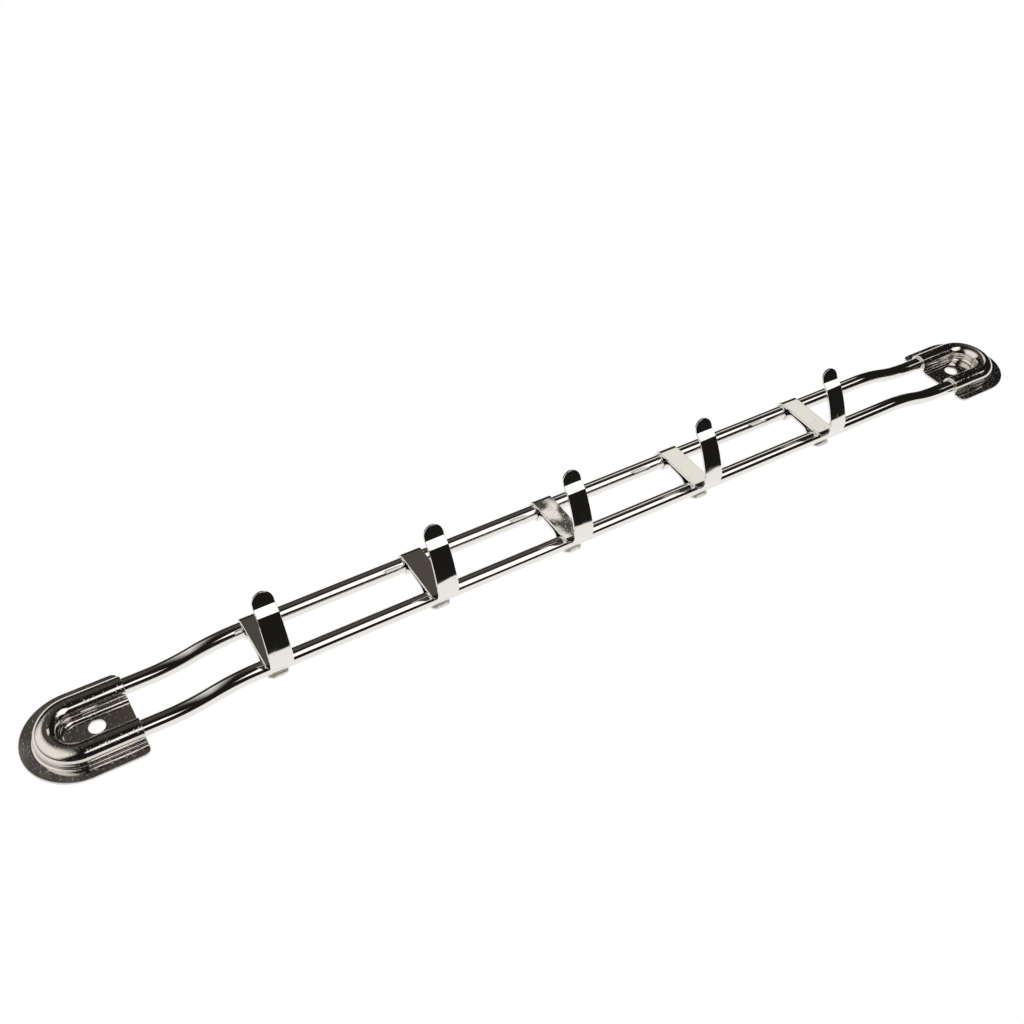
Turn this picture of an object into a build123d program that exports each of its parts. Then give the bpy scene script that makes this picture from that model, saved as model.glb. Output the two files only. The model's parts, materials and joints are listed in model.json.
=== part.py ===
"""Wall hook rack: a closed loop of round rod held by two stamped end brackets, with five strip hooks
that clip over both rods and slide along them.

Frame: X runs along the rods, Y points into the wall and Z is up. The origin is on the wall plane, in
the middle of the rack, so the rack stands off the wall towards -Y.
"""
import os
from math import atan2, cos, degrees, radians, sin, sqrt

from build123d import *

# ---- rod loop ----
ROD_DIAMETER = 6.0
ROD_PITCH = 20.0             # between the axes of the upper and the lower rod
ROD_STANDOFF = 7.4           # wall to rod axis along the straight run
ROD_WALL_GAP = 0.1           # between the wall and the rod where a bracket holds it
STRAIGHT_HALF = 148.0        # middle of the rack to the start of the joggle
JOGGLE_RADIUS = 70.0         # both bends that carry the rod down to the wall

# ---- end brackets ----
MOUTH_X = 190.0              # middle of the rack to the open edge of a bracket
BRACKET_STRAIGHT = 18.6      # open edge to the centre of the rounded end
BRACKET_WIDTH = 38.0
BRACKET_SHEET = 1.0
BRACKET_FIT = 0.05           # clearance all round the rod, inside the hump
INNER_FOOT_RADIUS = 1.8      # hump to floor, on the front of the sheet
OUTER_FOOT_RADIUS = 1.0      # hump to flange, on the front of the sheet
CORNER_RADIUS = 2.6          # flange corners at the open edge
SCREW_HOLE_DIAMETER = 5.6
SCREW_INSET = 12.5           # open edge to the middle of the screw hole

# ---- strip hooks ----
HOOK_POSITIONS = (-142.5, -78.7, -20.4, 41.8, 108.5)
STRIP_WIDTH = 8.5
STRIP_THICKNESS = 1.0
STRIP_FIT = 0.05             # running clearance round each rod
TAIL_GAP = 0.75              # between the plate and the tail behind it, where they come closest
TAIL_LEAN = 4.0              # degrees; the tail leans back as it goes down
TAIL_PINCH_Z = 2.0           # height at which TAIL_GAP is measured
TAIL_UPPER_RADIUS = 3.0      # centre line, below the upper rod
TAIL_LOWER_RADIUS = 4.0      # centre line, above the lower rod
TAIL_END_ANGLE = -5.0        # where the tail leaves the lower rod; 0 is straight behind the rod
TONGUE_LENGTH = 3.0          # the straight end of the tail, below that
TONGUE_CORNER = 2.9
PLATE_BOTTOM = -11.6         # where the plate starts to bend forward
CRADLE_RADIUS = 6.0          # centre line of the bend that carries the load
ARM_START_SLOPE = 17.0       # degrees above level, at the end of the cradle
ARM_END_SLOPE = 35.0
ARM_RADIUS = 49.0
KICK_SLOPE = 56.0            # the short upturn before the lip
KICK_RADIUS = 1.6
KICK_LENGTH = 2.6
LIP_SLOPE = 24.0             # the lip flares outwards again
LIP_RADIUS = 1.6
LIP_LENGTH = 5.0
LIP_WIDTH = 7.8              # diameter of the rounded end of the lip

# ---- values that follow from the sizes above ----
ROD_RADIUS = ROD_DIAMETER / 2
ROD_Z = ROD_PITCH / 2
BRACKET_ROD_HEIGHT = ROD_RADIUS + ROD_WALL_GAP
HALF_WIDTH = BRACKET_WIDTH / 2
LOOP_END_X = MOUTH_X + BRACKET_STRAIGHT
CUT_REACH = 60.0             # longer than any cut has to be
MATCH = 0.01                 # how closely an edge has to match the place it is looked for


def heading(angle):
    """Unit vector in the YZ plane: 0 points to +Y (the wall), 90 points up."""
    return Vector(0, cos(radians(angle)), sin(radians(angle)))


def arc_end(start, angle, radius, turn):
    """End point and heading of an arc that starts at `start` with heading `angle` and turns by `turn`."""
    side = 90 if turn > 0 else -90
    centre = start + heading(angle + side) * radius
    end = centre - heading(angle + turn + side) * radius
    middle = centre - heading(angle + turn / 2 + side) * radius
    return ThreePointArc(start, middle, end), end, angle + turn


def joggle_rise():
    """Offset of the rod towards the wall, and the turn and length of the two equal bends that make it."""
    rise = ROD_STANDOFF - BRACKET_ROD_HEIGHT
    turn = degrees(2 * atan2(sqrt(rise), sqrt(4 * JOGGLE_RADIUS - rise)))
    return rise, turn, 2 * JOGGLE_RADIUS * sin(radians(turn))


def half_loop():
    """The right half of the rod loop, from the middle of the upper rod round to the middle of the lower."""
    rise, turn, length = joggle_rise()
    bend_middle_x = STRAIGHT_HALF + length / 2
    bend_end_x = STRAIGHT_HALF + length

    def leg(z):
        """Straight run, joggle and straight end of one rod, outwards from the middle."""
        quarter = radians(turn / 2)
        first_x = STRAIGHT_HALF + JOGGLE_RADIUS * sin(quarter)
        first_drop = JOGGLE_RADIUS * (1 - cos(quarter))
        points = {
            "start": Vector(0, -ROD_STANDOFF, z),
            "bend": Vector(STRAIGHT_HALF, -ROD_STANDOFF, z),
            "first": Vector(first_x, -ROD_STANDOFF + first_drop, z),
            "middle": Vector(bend_middle_x, -ROD_STANDOFF + rise / 2, z),
            "second": Vector(2 * bend_middle_x - first_x, -BRACKET_ROD_HEIGHT - first_drop, z),
            "flat": Vector(bend_end_x, -BRACKET_ROD_HEIGHT, z),
            "end": Vector(LOOP_END_X, -BRACKET_ROD_HEIGHT, z),
        }
        return [
            Line(points["start"], points["bend"]),
            ThreePointArc(points["bend"], points["first"], points["middle"]),
            ThreePointArc(points["middle"], points["second"], points["flat"]),
            Line(points["flat"], points["end"]),
        ]

    top = Vector(LOOP_END_X, -BRACKET_ROD_HEIGHT, ROD_Z)
    far = Vector(LOOP_END_X + ROD_Z, -BRACKET_ROD_HEIGHT, 0)
    bottom = Vector(LOOP_END_X, -BRACKET_ROD_HEIGHT, -ROD_Z)
    path = Wire(leg(ROD_Z) + [ThreePointArc(top, far, bottom)] + leg(-ROD_Z))
    section = Plane(origin=(0, -ROD_STANDOFF, ROD_Z), z_dir=(1, 0, 0)) * Circle(ROD_RADIUS)
    return sweep(section, path=path)


def rod_loop():
    """The whole loop: two straight rods, four joggles and two U-turns, as one wire."""
    right = half_loop()
    return right + mirror(right, about=Plane.YZ)


def foot_offset(foot_radius):
    """Distance, across the bracket, from the rod axis to the centre of a foot bend of the hump."""
    hump = ROD_RADIUS + BRACKET_FIT
    bend = foot_radius + BRACKET_SHEET
    return sqrt((hump + bend) ** 2 - (BRACKET_ROD_HEIGHT - bend) ** 2)


def sheet_line(offset):
    """Half of the bracket's cross-section line, from its middle to its flange edge.

    `offset` is 0 on the back of the sheet and BRACKET_SHEET on its front.
    """
    hump_radius = ROD_RADIUS + BRACKET_FIT + offset
    inner_bend = INNER_FOOT_RADIUS + BRACKET_SHEET - offset
    outer_bend = OUTER_FOOT_RADIUS + BRACKET_SHEET - offset
    inner_z = ROD_Z - foot_offset(INNER_FOOT_RADIUS)
    outer_z = ROD_Z + foot_offset(OUTER_FOOT_RADIUS)
    hump_centre = Vector(0, -BRACKET_ROD_HEIGHT, ROD_Z)
    inner_centre = Vector(0, -INNER_FOOT_RADIUS - BRACKET_SHEET, inner_z)
    outer_centre = Vector(0, -OUTER_FOOT_RADIUS - BRACKET_SHEET, outer_z)

    def bend(centre, radius, start, end):
        """Arc about `centre` between two directions, the short way round."""
        middle = (start + end).normalized()
        return ThreePointArc(centre + start * radius, centre + middle * radius, centre + end * radius)

    to_wall = Vector(0, 1, 0)
    to_room = Vector(0, -1, 0)
    inner_link = (inner_centre - hump_centre).normalized()
    outer_link = (outer_centre - hump_centre).normalized()
    hump = ThreePointArc(hump_centre + inner_link * hump_radius, hump_centre + to_room * hump_radius,
                         hump_centre + outer_link * hump_radius)
    return [
        Line((0, -offset, 0), (0, -offset, inner_z)),
        bend(inner_centre, inner_bend, to_wall, -inner_link),
        hump,
        bend(outer_centre, outer_bend, -outer_link, to_wall),
        Line((0, -offset, outer_z), (0, -offset, HALF_WIDTH)),
    ]


def right_bracket():
    """The stamped bracket of the +X end: flange, U-shaped hump over the rod, floor and screw hole."""
    back = sheet_line(0)
    front = sheet_line(BRACKET_SHEET)
    middle_cut = Line((0, 0, 0), (0, -BRACKET_SHEET, 0))
    flange_edge = Line((0, 0, HALF_WIDTH), (0, -BRACKET_SHEET, HALF_WIDTH))
    half_section = Face(Wire(back + front + [middle_cut, flange_edge]))

    upper = extrude(Pos(MOUTH_X, 0, 0) * half_section, amount=BRACKET_STRAIGHT, dir=(1, 0, 0))
    straight = upper + mirror(upper, about=Plane.XY)
    rounded_end = revolve(Pos(LOOP_END_X, 0, 0) * half_section,
                          axis=Axis((LOOP_END_X, 0, 0), (0, 1, 0)), revolution_arc=180)
    bracket = straight + rounded_end

    hole_plane = Plane(origin=(MOUTH_X + SCREW_INSET, 0, 0), z_dir=(0, -1, 0))
    bracket -= extrude(hole_plane * Circle(SCREW_HOLE_DIAMETER / 2), amount=CUT_REACH, both=True)

    corners = [edge for edge in bracket.edges().filter_by(Axis.Y)
               if abs(edge.center().X - MOUTH_X) < MATCH
               and abs(abs(edge.center().Z) - HALF_WIDTH) < MATCH]
    return fillet(corners, CORNER_RADIUS)


def tail_bend_centre(pinch, lean, radius, rod_z):
    """Centre of a tail bend: `radius` behind the tail's line, and touching the wrap round a rod."""
    wrap = ROD_RADIUS + STRIP_FIT + STRIP_THICKNESS / 2
    behind = pinch + heading(lean + 90) * radius
    rod = Vector(0, -ROD_STANDOFF, rod_z)
    gap = behind - rod
    along = heading(lean)
    half_b = gap.dot(along)
    root = sqrt(half_b ** 2 - gap.dot(gap) + (wrap + radius) ** 2)
    step = -half_b + root if rod_z > 0 else -half_b - root
    return behind + along * step, rod, wrap


def tail_path(plate_y):
    """Centre line of the clip behind the plate, from the plate's top over the upper rod to the tongue."""
    lean = TAIL_LEAN - 90
    pinch = Vector(0, plate_y + STRIP_THICKNESS + TAIL_GAP, TAIL_PINCH_Z)
    upper_centre, upper_rod, wrap = tail_bend_centre(pinch, lean, TAIL_UPPER_RADIUS, ROD_Z)
    lower_centre, lower_rod, wrap = tail_bend_centre(pinch, lean, TAIL_LOWER_RADIUS, -ROD_Z)

    def toward(start, end):
        """Direction angle from one point to another, in the YZ plane."""
        return degrees(atan2(end.Z - start.Z, end.Y - start.Y))

    leave_angle = toward(upper_rod, upper_centre)
    meet_angle = toward(lower_rod, lower_centre)
    edges = []
    edge, point, angle = arc_end(Vector(0, plate_y, ROD_Z), 90, wrap, leave_angle - 180)
    edges.append(edge)
    edge, point, angle = arc_end(point, angle, TAIL_UPPER_RADIUS, (lean - angle) % 360)
    edges.append(edge)
    line_end = lower_centre - heading(lean + 90) * TAIL_LOWER_RADIUS
    edges.append(Line(point, line_end))
    edge, point, angle = arc_end(line_end, lean, TAIL_LOWER_RADIUS, meet_angle - 90 - lean)
    edges.append(edge)
    edge, point, angle = arc_end(point, angle, wrap, TAIL_END_ANGLE - meet_angle)
    edges.append(edge)
    end = point + heading(angle) * TONGUE_LENGTH
    return edges + [Line(point, end)], end


def arm_path(plate_y):
    """Centre line from the plate's foot through the cradle and along the arm to the end of the lip."""
    forward = -180
    start = Vector(0, plate_y, PLATE_BOTTOM)
    bends = (
        (CRADLE_RADIUS, forward - ARM_START_SLOPE, 0),
        (ARM_RADIUS, forward - ARM_END_SLOPE, 0),
        (KICK_RADIUS, forward - KICK_SLOPE, KICK_LENGTH),
        (LIP_RADIUS, forward - LIP_SLOPE, LIP_LENGTH),
    )
    edges = []
    point, angle = start, -90
    for radius, end_angle, straight in bends:
        edge, point, angle = arc_end(point, angle, radius, end_angle - angle)
        edges.append(edge)
        if straight:
            edges.append(Line(point, point + heading(angle) * straight))
            point = point + heading(angle) * straight
    return edges, point


def strip_hook(x):
    """One hook, bent from a single strip, centred at `x` along the rods."""
    plate_y = -(ROD_STANDOFF + ROD_RADIUS + STRIP_FIT + STRIP_THICKNESS / 2)
    arm, tip = arm_path(plate_y)
    plate = Line((0, plate_y, PLATE_BOTTOM), (0, plate_y, ROD_Z))
    tail, tongue_end = tail_path(plate_y)
    path = Wire(arm + [plate] + tail)
    start = path @ 0
    section = Plane(origin=start, x_dir=(1, 0, 0), z_dir=path % 0) * Rectangle(STRIP_WIDTH, STRIP_THICKNESS)
    strip = sweep(section, path=path)

    taper_start_y = plate_y - CRADLE_RADIUS
    lip_centre_y = tip.Y + LIP_WIDTH / 2
    wide, narrow = STRIP_WIDTH / 2, LIP_WIDTH / 2
    blank = Polyline((wide, taper_start_y), (narrow, lip_centre_y), (-narrow, lip_centre_y),
                     (-wide, taper_start_y), (-wide, CUT_REACH), (wide, CUT_REACH), close=True)
    outline = make_face(blank) + Pos(0, lip_centre_y) * Circle(narrow)
    strip &= extrude(outline, amount=CUT_REACH, both=True)

    tongue_edges = [edge for edge in strip.edges()
                    if abs(edge.length - STRIP_THICKNESS) < MATCH
                    and abs(abs(edge.center().X) - STRIP_WIDTH / 2) < MATCH
                    and (Vector(0, edge.center().Y, edge.center().Z) - tongue_end).length < MATCH]
    strip = fillet(tongue_edges, TONGUE_CORNER)
    return Pos(x, 0, 0) * strip


def write(name, shape):
    """Writes one piece to parts/NAME.step."""
    shape.label = name
    export_step(shape, os.path.join("parts", name + ".step"))


def main():
    """Builds and writes every piece of the rack."""
    os.makedirs("parts", exist_ok=True)
    write("rod_loop", rod_loop())
    bracket = right_bracket()
    write("right_end_bracket", bracket)
    write("left_end_bracket", mirror(bracket, about=Plane.YZ))
    for number, x in enumerate(HOOK_POSITIONS, start=1):
        write(f"hook_{number}", strip_hook(x))


if __name__ == "__main__":
    main()
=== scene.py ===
"""Looks of a wall hook rack: polished rod loop, stamped end brackets and five bent strip hooks.

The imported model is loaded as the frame. Each of its pieces is rebuilt here as a finer mesh with rounded
sheet edges, and dressed in a procedural metal. Lengths are in metres, X runs along the rods, Y points
into the wall and Z is up.
"""
from __future__ import annotations

import json
import logging
import math
from collections.abc import Callable
from dataclasses import dataclass, field
from enum import Enum

import bpy
import numpy as np
from mathutils import Matrix, Vector
from mathutils.geometry import delaunay_2d_cdt

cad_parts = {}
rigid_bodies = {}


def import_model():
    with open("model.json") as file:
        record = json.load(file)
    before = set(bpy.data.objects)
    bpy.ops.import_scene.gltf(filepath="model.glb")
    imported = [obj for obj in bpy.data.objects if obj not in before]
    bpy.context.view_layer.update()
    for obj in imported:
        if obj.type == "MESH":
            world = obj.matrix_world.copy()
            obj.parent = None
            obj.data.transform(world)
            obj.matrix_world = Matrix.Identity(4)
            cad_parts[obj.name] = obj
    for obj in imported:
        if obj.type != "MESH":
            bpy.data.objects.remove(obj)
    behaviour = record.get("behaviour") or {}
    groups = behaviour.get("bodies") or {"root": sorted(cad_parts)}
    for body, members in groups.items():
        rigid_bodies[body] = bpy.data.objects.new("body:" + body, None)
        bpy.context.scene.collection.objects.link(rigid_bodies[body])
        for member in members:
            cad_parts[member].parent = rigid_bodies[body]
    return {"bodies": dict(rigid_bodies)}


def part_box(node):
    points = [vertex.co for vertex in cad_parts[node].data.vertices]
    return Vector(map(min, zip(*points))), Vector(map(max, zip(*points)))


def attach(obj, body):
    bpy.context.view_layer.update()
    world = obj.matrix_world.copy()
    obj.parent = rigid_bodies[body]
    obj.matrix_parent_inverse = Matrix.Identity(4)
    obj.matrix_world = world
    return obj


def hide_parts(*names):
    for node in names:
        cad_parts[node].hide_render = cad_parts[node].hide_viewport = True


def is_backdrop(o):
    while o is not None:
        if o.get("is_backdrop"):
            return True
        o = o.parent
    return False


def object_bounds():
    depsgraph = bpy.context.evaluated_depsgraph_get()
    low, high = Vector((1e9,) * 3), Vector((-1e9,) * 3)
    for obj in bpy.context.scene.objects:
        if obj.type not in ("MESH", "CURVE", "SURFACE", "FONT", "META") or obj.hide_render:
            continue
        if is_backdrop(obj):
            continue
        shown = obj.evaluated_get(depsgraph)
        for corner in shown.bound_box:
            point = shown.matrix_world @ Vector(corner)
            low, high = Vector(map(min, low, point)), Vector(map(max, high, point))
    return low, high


MM = 0.001
WELD = 1e-7                      # points closer than this are one vertex
ARC_STEP = math.radians(5)       # largest turn between two samples of a bend
CDT_INSIDE = 1                   # keep only the triangles inside the outline
CDT_TOLERANCE = 1e-9
MIX_A, MIX_B, MIX_RESULT = 6, 7, 2     # colour sockets of a Mix node, which has more of the same names
ROD_BODY = "rack"

log = logging.getLogger("hook_rack")


class Slot(Enum):
    """The record's material slots."""

    ROD = "rod_chrome"
    BRACKET = "bracket_nickel"
    HOOK = "hook_chrome"


class Side(Enum):
    """The two ends of the rack, as the sign of X."""

    LEFT = -1
    RIGHT = 1


# ---------------------------------------------------------------- bent lines and meshes


@dataclass(frozen=True)
class Stretch:
    """One straight or one arc of a bent line.

    Args:
        start: First point, in the plane of the line.
        heading: Direction at the first point, in radians.
        length: Length along the line.
        turn: Total turn in radians, counter-clockwise, or 0 on a straight.
    """

    start: tuple[float, float]
    heading: float
    length: float
    turn: float = 0.0

    def at(self, along: float) -> tuple[np.ndarray, float]:
        """Finds a point of the stretch.

        Args:
            along: Distance from the first point.

        Returns:
            The point, and the heading there.
        """
        start = np.array(self.start)
        if not self.turn:
            return start + along * unit(self.heading), self.heading
        radius = self.length / self.turn
        centre = start + radius * unit(self.heading + math.pi / 2)
        heading = self.heading + self.turn * along / self.length
        return centre - radius * unit(heading + math.pi / 2), heading

    def reversed(self) -> Stretch:
        """The same stretch, walked from its other end."""
        end, heading = self.at(self.length)
        return Stretch(tuple(end), heading + math.pi, self.length, -self.turn)


@dataclass
class BentLine:
    """A line of straights and tangent arcs in a plane.

    Args:
        start: First point.
        heading: Direction at the first point, in radians.
        stretches: Its straights and arcs, in order.
    """

    start: tuple[float, float]
    heading: float
    stretches: list[Stretch] = field(default_factory=list)

    def end(self) -> tuple[np.ndarray, float]:
        """Last point of the line, and the heading there."""
        if not self.stretches:
            return np.array(self.start), self.heading
        return self.stretches[-1].at(self.stretches[-1].length)

    def straight(self, length: float) -> BentLine:
        """Adds a straight.

        Args:
            length: Length of the straight.

        Returns:
            The line itself, so that calls chain.
        """
        point, heading = self.end()
        self.stretches.append(Stretch(tuple(point), heading, length))
        return self

    def arc(self, radius: float, turn: float) -> BentLine:
        """Adds a tangent arc.

        Args:
            radius: Radius of the arc.
            turn: Turn in radians, counter-clockwise.

        Returns:
            The line itself, so that calls chain.
        """
        point, heading = self.end()
        self.stretches.append(Stretch(tuple(point), heading, radius * abs(turn), turn))
        return self

    def reversed(self) -> BentLine:
        """The same line, walked from its other end."""
        turned = [stretch.reversed() for stretch in reversed(self.stretches)]
        return BentLine(turned[0].start, turned[0].heading, turned)

    def length(self) -> float:
        """Length of the whole line."""
        return sum(stretch.length for stretch in self.stretches)

    def at(self, along: float) -> tuple[np.ndarray, float]:
        """Finds a point of the line.

        Args:
            along: Distance from the start.

        Returns:
            The point, and the heading there.
        """
        for stretch in self.stretches[:-1]:
            if along <= stretch.length:
                return stretch.at(along)
            along -= stretch.length
        return self.stretches[-1].at(along)

    def stations(self, longest: float) -> list[float]:
        """Distances at which the line is sampled.

        Args:
            longest: Largest distance between two samples on a straight.

        Returns:
            Distances from the start, the ends of every stretch among them.
        """
        found, passed = [0.0], 0.0
        for stretch in self.stretches:
            if stretch.turn:
                steps = max(1, math.ceil(abs(stretch.turn) / ARC_STEP))
            else:
                steps = max(1, math.ceil(stretch.length / longest))
            found += [passed + stretch.length * i / steps for i in range(1, steps + 1)]
            passed += stretch.length
        return found


def unit(angle: float) -> np.ndarray:
    """Unit vector of an angle in a plane."""
    return np.array((math.cos(angle), math.sin(angle)))


def add_object(name: str, data: bpy.types.ID) -> bpy.types.Object:
    """Puts a mesh, a curve or a camera into the scene.

    Args:
        name: Name of the object.
        data: The mesh, curve or camera.

    Returns:
        The object.
    """
    made = bpy.data.objects.new(name, data)
    bpy.context.scene.collection.objects.link(made)
    return made


class Shell:
    """A closed mesh whose vertices carry the true normals of the shape."""

    def __init__(self) -> None:
        """Starts an empty mesh."""
        self.points: list[tuple[float, float, float]] = []
        self.normals: list[tuple[float, float, float]] = []
        self.faces: list[tuple[int, ...]] = []
        self.index: dict[tuple[int, int, int], int] = {}

    def vertex(self, point: np.ndarray, normal: np.ndarray) -> int:
        """Adds a vertex, or finds the one that is already there.

        Args:
            point: Place, in the row frame.
            normal: Outward direction.

        Returns:
            The vertex's number.
        """
        key = tuple(int(round(value / WELD)) for value in point)
        if key not in self.index:
            self.index[key] = len(self.points)
            self.points.append(tuple(point))
            self.normals.append(tuple(normal))
        return self.index[key]

    def face(self, corners: list[int]) -> None:
        """Adds a face, without the corners that fell together."""
        kept = [c for i, c in enumerate(corners) if c != corners[i - 1]]
        if len(kept) > 2:
            self.faces.append(tuple(kept))

    def band(self, first: list[int], second: list[int], forward: bool = True) -> None:
        """Joins two rows of vertices with four-sided faces.

        Args:
            first: Numbers of the first row.
            second: Numbers of the second row.
            forward: False to have the faces look the other way.
        """
        if not forward:
            first, second = second, first
        for i in range(len(first) - 1):
            self.face([first[i], first[i + 1], second[i + 1], second[i]])

    def volume(self) -> float:
        """Adds up the volume under every face.

        Returns:
            The volume, positive where the faces point outwards.
        """
        points = np.array(self.points)
        total = 0.0
        for face in self.faces:
            for i in range(1, len(face) - 1):
                a, b, c = points[[face[0], face[i], face[i + 1]]]
                total += np.dot(a, np.cross(b, c)) / 6
        return total

    def build(self, name: str) -> bpy.types.Object:
        """Makes the Blender object.

        Args:
            name: Name of the piece.

        Returns:
            The object, smooth shaded with the true normals.
        """
        mesh = bpy.data.meshes.new(name)
        outward = self.volume() > 0
        faces = self.faces if outward else [tuple(reversed(face)) for face in self.faces]
        mesh.from_pydata(self.points, [], faces)
        mesh.shade_smooth()
        mesh.normals_split_custom_set_from_vertices(self.normals)
        mesh.update()
        return add_object(name, mesh)


@dataclass(frozen=True)
class Rim:
    """How the sheared edge of a sheet is rounded.

    Args:
        sheet: Sheet thickness.
        radius: Radius of the rounding.
        steps: Faces across each rounding.
    """

    sheet: float
    radius: float
    steps: int = 4

    def levels(self) -> list[tuple[float, float, float, float]]:
        """Rows from the back of the sheet over its edge to its front.

        Returns:
            For each row, the inset from the outline, the height over the middle of the sheet, and the
            normal's shares along the outline's normal and along the sheet's.
        """
        rows = []
        flat = self.sheet / 2 - self.radius
        for sign in (-1, 1):
            for i in range(self.steps + 1):
                share = i if sign > 0 else self.steps - i
                angle = math.pi / 2 * share / self.steps
                height = sign * (flat + self.radius * math.sin(angle))
                rows.append((self.radius * (1 - math.cos(angle)), height,
                             math.cos(angle), sign * math.sin(angle)))
        return rows


# ---------------------------------------------------------------- finishes


class NodeTree:
    """Short calls for building a node tree."""

    def __init__(self, tree: bpy.types.NodeTree) -> None:
        """Wraps a tree and empties it."""
        self.tree = tree
        tree.nodes.clear()

    def add(self, kind: str, inputs: dict | None = None, **settings: object) -> bpy.types.Node:
        """Adds a node.

        Args:
            kind: The node's type.
            inputs: Values or sockets for its inputs, by name or number.
            settings: Properties of the node.

        Returns:
            The node.
        """
        node = self.tree.nodes.new(kind)
        for key, value in settings.items():
            setattr(node, key, value)
        for key, value in (inputs or {}).items():
            self.feed(node.inputs[key], value)
        return node

    def feed(self, socket: bpy.types.NodeSocket, value: object) -> None:
        """Links a socket to an input, or sets the input's value."""
        if isinstance(value, bpy.types.NodeSocket):
            self.tree.links.new(value, socket)
        else:
            socket.default_value = value

    def math(self, operation: str, *values: object) -> bpy.types.NodeSocket:
        """Adds a Math node and returns its result."""
        return self.add("ShaderNodeMath", dict(enumerate(values)), operation=operation).outputs[0]

    def noise(self, place: bpy.types.NodeSocket, scale: object, detail: float,
              **shape: float) -> bpy.types.NodeSocket:
        """Adds a Noise node and returns its value, with Roughness and Distortion given by name."""
        return self.add("ShaderNodeTexNoise", {"Vector": place, "Scale": scale, "Detail": detail,
                                               **shape}).outputs["Fac"]

    def ramp(self, value: bpy.types.NodeSocket, low: float, high: float,
             to_low: float = 0.0, to_high: float = 1.0) -> bpy.types.NodeSocket:
        """Maps a value smoothly from one range to another.

        Args:
            value: The value's socket.
            low: Where the first range starts.
            high: Where the first range ends.
            to_low: Result at and below low.
            to_high: Result at and above high.

        Returns:
            The result's socket.
        """
        node = self.add("ShaderNodeMapRange", {"Value": value, "From Min": low, "From Max": high,
                                               "To Min": to_low, "To Max": to_high},
                        interpolation_type="SMOOTHSTEP")
        return node.outputs["Result"]


def new_group(name: str, inputs: dict[str, float],
              outputs: tuple[str, ...]) -> tuple[bpy.types.NodeTree, NodeTree]:
    """Makes a shader node group that is empty but for its sockets, the first of them a Vector input.

    Args:
        name: Name of the group.
        inputs: Number inputs and their defaults.
        outputs: Names of the number outputs.

    Returns:
        The group's tree, and the helper that fills it.
    """
    tree = bpy.data.node_groups.new(name, "ShaderNodeTree")
    tree.interface.new_socket("Vector", in_out="INPUT", socket_type="NodeSocketVector")
    for key, value in inputs.items():
        socket = tree.interface.new_socket(key, in_out="INPUT", socket_type="NodeSocketFloat")
        socket.default_value = value
    for key in outputs:
        tree.interface.new_socket(key, in_out="OUTPUT", socket_type="NodeSocketFloat")
    return tree, NodeTree(tree)


@dataclass(frozen=True)
class HandlingMarks:
    """Fine scratches, smudges and slow waves of handled, polished metal.

    Args:
        wave_roughness: How rough the slow waves are.
        smudge_scale: How close together the smudges are.
        smudge_roughness: How rough the smudges are.
        smudge_twist: How much the smudges are drawn about.
        smudge_range: Noise values at which a smudge starts and is full.
        scratch_turns: Turn about X, in radians, of each of the three directions of scratches.
        scratch_tilts: The turns about Y and about Z, as shares of the turn about X.
        scratch_stretch: Scale along Y, which draws the noise out into lines.
        scratch_range: Noise values at which a scratch starts and is full.
        scratch_depth: Depth of a scratch, as a share of the waves' height.
    """

    wave_roughness: float = 0.4
    smudge_scale: float = 170.0
    smudge_roughness: float = 0.62
    smudge_twist: float = 0.6
    smudge_range: tuple[float, float] = (0.42, 0.68)
    scratch_turns: tuple[float, float, float] = (0.35, 1.15, 2.4)
    scratch_tilts: tuple[float, float] = (0.4, 1.7)
    scratch_stretch: float = 0.035
    scratch_range: tuple[float, float] = (0.66, 0.74)
    scratch_depth: float = 0.02

    def group(self) -> bpy.types.NodeTree:
        """Builds the node group.

        Returns:
            A group that gives a height, a smudge mask and a scratch mask.
        """
        group, nodes = new_group("handling_marks",
                                 {"Wave Scale": 90.0, "Scratch Scale": 900.0, "Scratch": 1.0},
                                 ("Height", "Smudge", "Scratches"))
        given = nodes.add("NodeGroupInput").outputs
        wave = nodes.noise(given["Vector"], given["Wave Scale"], detail=1.0, Roughness=self.wave_roughness)
        smudge = nodes.noise(given["Vector"], self.smudge_scale, detail=5.0,
                             Roughness=self.smudge_roughness, Distortion=self.smudge_twist)
        masks = []
        for turn in self.scratch_turns:
            about_y, about_z = (share * turn for share in self.scratch_tilts)
            turned = nodes.add("ShaderNodeMapping", {"Vector": given["Vector"],
                                                     "Rotation": (turn, about_y, about_z),
                                                     "Scale": (1.0, self.scratch_stretch, 1.0)}).outputs[0]
            streaks = nodes.noise(turned, given["Scratch Scale"], detail=1.0)
            masks.append(nodes.ramp(streaks, *self.scratch_range))
        scratches = nodes.math("MAXIMUM", nodes.math("MAXIMUM", masks[0], masks[1]), masks[2])
        scratches = nodes.math("MULTIPLY", scratches, given["Scratch"])
        cut = nodes.math("MULTIPLY", scratches, self.scratch_depth)
        nodes.add("NodeGroupOutput", {"Height": nodes.math("SUBTRACT", wave, cut),
                                      "Smudge": nodes.ramp(smudge, *self.smudge_range),
                                      "Scratches": scratches})
        return group


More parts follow.
